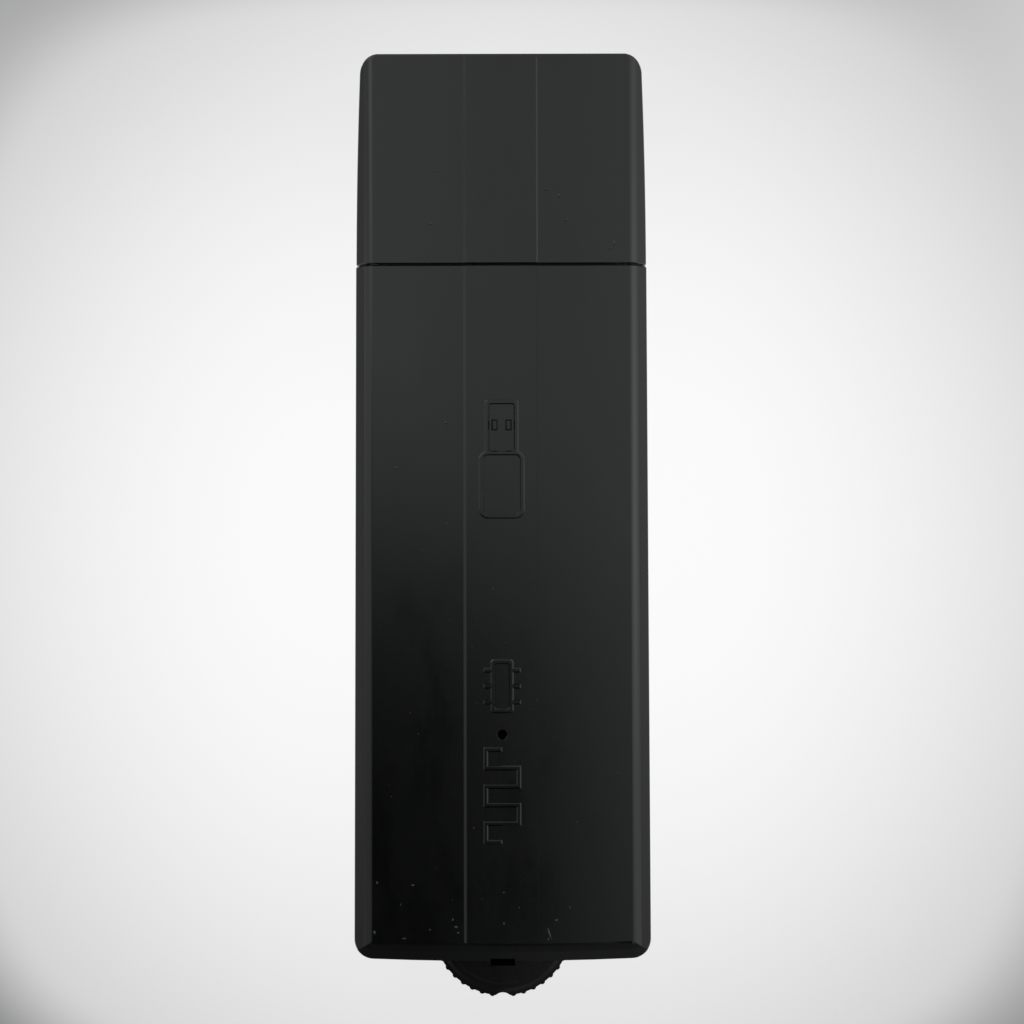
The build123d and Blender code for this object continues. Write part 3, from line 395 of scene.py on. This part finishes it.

# %% [markdown]
# ## Dust and nicks from a pocket
# A used stick carries grains of dust and small nicks, mostly near its wheel. Each one is a low
# pebble pressed into the skin. The larger ones are listed one by one and the fine ones come from a
# seeded generator. A nick is the same pebble, drawn out along the case.

# %% Shape the pebbles and scatter them
BAND_HALF_WIDTH = 2.9 * MM
BAND_HEIGHT = 0.1 * MM
SUNK = 0.4


def pebble(mesh, place, size, rng):
    """A low, irregular, rounded grain at a place on the face."""
    made = bmesh.ops.create_icosphere(mesh, subdivisions=1, radius=0.5)
    turn = Matrix.Rotation(rng.uniform(-0.3, 0.3), 4, "Z")
    for vert in made["verts"]:
        uneven = rng.uniform(0.8, 1.2)
        vert.co = turn @ Vector([uneven * vert.co[i] * size[i] for i in range(3)])
        vert.co += place


def on_face(x, y, size_z):
    """The point of the front face at x, y, raised so that a grain of a height is partly sunk."""
    level = CASE_THICKNESS + (BAND_HEIGHT if abs(x) < BAND_HALF_WIDTH else 0)
    return Vector((x, y, level + (0.5 - SUNK) * size_z))


def scatter(name, grains, body, rng):
    """One piece from a list of (x, y, size x, size y, size z), in millimetres."""
    mesh = bmesh.new()
    for x, y, size_x, size_y, size_z in grains:
        size = Vector((size_x, size_y, size_z)) * MM
        pebble(mesh, on_face(wheel_x + x * MM, y * MM, size.z), size, rng)
    bmesh.ops.recalc_face_normals(mesh, faces=mesh.faces)
    for face in mesh.faces:
        face.smooth = True
    data = bpy.data.meshes.new(name)
    mesh.to_mesh(data)
    mesh.free()
    data.materials.append(dust)
    piece = bpy.data.objects.new(name, data)
    bpy.context.scene.collection.objects.link(piece)
    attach(piece, body)
    print(name, len(grains), "grains,", len(data.polygons), "faces")


def dust_finish(tree, sockets):
    mottle = tree.noise(tree.place(), 9000.0, 2.0)
    sockets["Base Color"] = tree.mix(mottle, color(0.006, 0.006, 0.006), color(0.024, 0.024, 0.022))
    sockets["Roughness"] = 0.28 + 0.2 * mottle
    sockets["Normal"] = bump(tree, mottle, 0.000004)


dust = surface("dust", dust_finish)
cap_grains = [
    (-5.25, 28.94, 0.30, 0.24, 0.06), (-5.0, 27.7, 0.16, 0.14, 0.05), (3.74, 27.4, 0.28, 0.24, 0.07),
    (4.80, 26.9, 0.20, 0.30, 0.06), (-5.82, 24.6, 0.22, 0.40, 0.06), (5.38, 24.85, 0.34, 0.20, 0.06),
    (9.30, 22.98, 0.20, 0.62, 0.07), (9.0, 22.5, 0.34, 0.16, 0.05), (6.9, 31.6, 0.14, 0.14, 0.05),
]
body_grains = [
    (-4.59, 8.12, 0.26, 0.30, 0.06), (-8.68, 4.44, 0.34, 0.24, 0.06), (-1.16, 6.56, 0.12, 0.12, 0.05),
    (-3.78, -32.98, 0.36, 0.30, 0.07), (-3.60, -33.45, 0.26, 0.22, 0.06), (-4.05, -32.4, 0.20, 0.26, 0.06),
    (3.82, -33.6, 0.22, 1.30, 0.06), (4.36, -32.45, 0.34, 0.20, 0.07), (3.72, -34.0, 0.16, 0.30, 0.06),
    (-7.3, -29.6, 0.34, 0.22, 0.06),
    (-5.9, -33.2, 0.18, 0.18, 0.05), (-8.0, -33.9, 0.40, 0.14, 0.05), (-10.2, -29.4, 0.20, 0.30, 0.06),
    (0.1, -30.2, 0.22, 0.16, 0.05), (0.1, -32.7, 0.18, 0.26, 0.06), (-10.4, -33.4, 0.26, 0.46, 0.05),
]
dust_rng = random.Random(7)
for _ in range(30):
    size = dust_rng.uniform(0.05, 0.11)
    length = size * dust_rng.choice((1.0, 1.0, 1.6, 3.5))
    y = dust_rng.triangular(-34.0, 19.0, -32.0)
    body_grains.append((dust_rng.uniform(-10.2, 10.2), y, size, length, 0.03))
for _ in range(16):
    size = dust_rng.uniform(0.05, 0.10)
    cap_grains.append((dust_rng.uniform(-9.8, 9.8), dust_rng.uniform(23.0, 33.5), size, size, 0.03))
scatter("cap_dust", cap_grains, "cap", dust_rng)
scatter("body_dust", body_grains, "case", dust_rng)

# %% [markdown]
# ## The table
# The stick lies on a white light table, bright in the middle and greyer towards the corners. A
# big disc glows by itself, so that no shadow shows, and a little grey on it catches the studio
# light. Past the edge of the view the disc is what the bevelled edges of the stick look at. There
# it is at half brightness on the right, dimmer on the left and nearly dark at the near end. It
# hangs a little below the stick, so that the two do not share a plane.

# %% Lay the table
TABLE_RADIUS = 0.6
TABLE_DROP = 0.05 * MM
GLOW_REACH = 0.0625
GLOW_POWER = 2.8
VIEW_REACH = 0.0445
VIEW_FADE = 1.2
FLOOR_LEVEL = 0.22
GLOW_LEVEL = 0.71
RIGHT_LEVEL = 0.30
LEFT_LEVEL = 0.09
NEAR_LEVEL = 0.10
table_mesh = bmesh.new()
bmesh.ops.create_circle(table_mesh, cap_ends=True, segments=128, radius=TABLE_RADIUS)
table_data = bpy.data.meshes.new("table")
table_mesh.to_mesh(table_data)
table_mesh.free()
table = bpy.data.objects.new("table", table_data)
table.location.z = -TABLE_DROP
bpy.context.scene.collection.objects.link(table)


def light_table(tree, sockets):
    where = tree.node("ShaderNodeTexCoord", output="Object")
    east, north, _ = tree.axes(where)
    distance = tree.node("ShaderNodeVectorMath", {"operation": "LENGTH"}, {0: where}, output="Value")
    faded = (distance / GLOW_REACH) ** GLOW_POWER
    glow = tree.node("ShaderNodeMath", {"operation": "EXPONENT"}, {0: -1 * faded})
    reach = ((east * east) ** 2 + (north * north) ** 2) ** 0.25
    outside = reach.ramp(VIEW_REACH, VIEW_FADE * VIEW_REACH)
    to_east = east / distance
    to_north = north / distance
    beyond = to_north.ramp(-1.0, -0.3)
    side_level = FLOOR_LEVEL + RIGHT_LEVEL * to_east.ramp(0.3, 0.9)
    side_level = side_level + LEFT_LEVEL * (-1 * to_east).ramp(0.3, 0.9)
    side_level = side_level * (0.85 + 0.3 * to_north.ramp(-0.5, 0.5)) * beyond
    near_level = NEAR_LEVEL * to_east.ramp(-0.08, 0.10) * (1 - beyond)
    level = (FLOOR_LEVEL + GLOW_LEVEL * glow) * (1 - outside) + outside * (side_level + near_level)
    sockets["Base Color"] = color(0.07, 0.07, 0.07)
    sockets["Roughness"] = 0.9
    sockets["Emission Color"] = tree.grey(level)
    sockets["Emission Strength"] = 1.0


table_data.materials.append(surface("table_glow", light_table))

# %% [markdown]
# ## Soft studio light
# Black plastic shows the room, not itself, so the room is what is designed here. The ceiling over
# the camera is dark. A wide soft light stands beyond the cap, another on the right, and both
# begin close to the camera, so that their edges fall across the broad face as a soft gradient.
# A third light low on the left and a lamp low on the right only show on the rounded sides.
# The world's color is worked out from the direction: each light is a smooth step of the angle.

# %% Light the room
FAR_MIDDLE = 0.63
FAR_SIDES = 0.27
RIGHT_STRENGTH = 0.63
world = bpy.data.worlds.new("studio")
bpy.context.scene.world = world
room = Tree(world)
direction = room.node("ShaderNodeTexCoord", output="Generated")
toward_x, toward_y, toward_z = room.axes(direction)
far_light = (toward_y + 0.27 * toward_x).ramp(-0.004, 0.089)
right_light = (toward_x + 0.14 * toward_y).ramp(-0.001, 0.043)
left_light = (-1 * toward_x).ramp(0.10, 0.42) * (0.48 + 0.60 * toward_y.ramp(-0.06, 0.17))
left_light = left_light * (1 - 0.35 * toward_y.ramp(0.12, 0.18))
right_lamp = toward_x.ramp(0.10, 0.55) * (1 - 0.8 * toward_x.ramp(0.80, 1.0))
right_lamp = right_lamp * (0.15 + 0.85 * toward_y.ramp(-0.05, 0.055)) * (1 - 0.6 * toward_y.ramp(0.12, 0.19))
near_shade = 1 - (-1 * toward_y).ramp(0.2, 0.7)
near_fill = (-1 * toward_y).ramp(0.2, 0.6) * (0.08 + 0.10 * toward_x.ramp(-0.05, 0.05))
above = toward_z.ramp(-0.3, 0.1)
off_middle = toward_x.math("ABSOLUTE", toward_x - 0.010).ramp(0.0, 0.055)
far_level = (FAR_MIDDLE + FAR_SIDES * off_middle) * far_light
room_level = far_level + RIGHT_STRENGTH * right_light * (1 - 0.95 * far_light)
room_level = (room_level + left_light + right_lamp) * near_shade + near_fill
room_shader = room.node(
    "ShaderNodeBackground", {},
    {"Color": color(0.97, 1.0, 0.99), "Strength": room_level * above},
)
room.node("ShaderNodeOutputWorld", {}, {"Surface": room_shader})
bpy.context.scene.view_settings.view_transform = "Standard"
print("room lit")
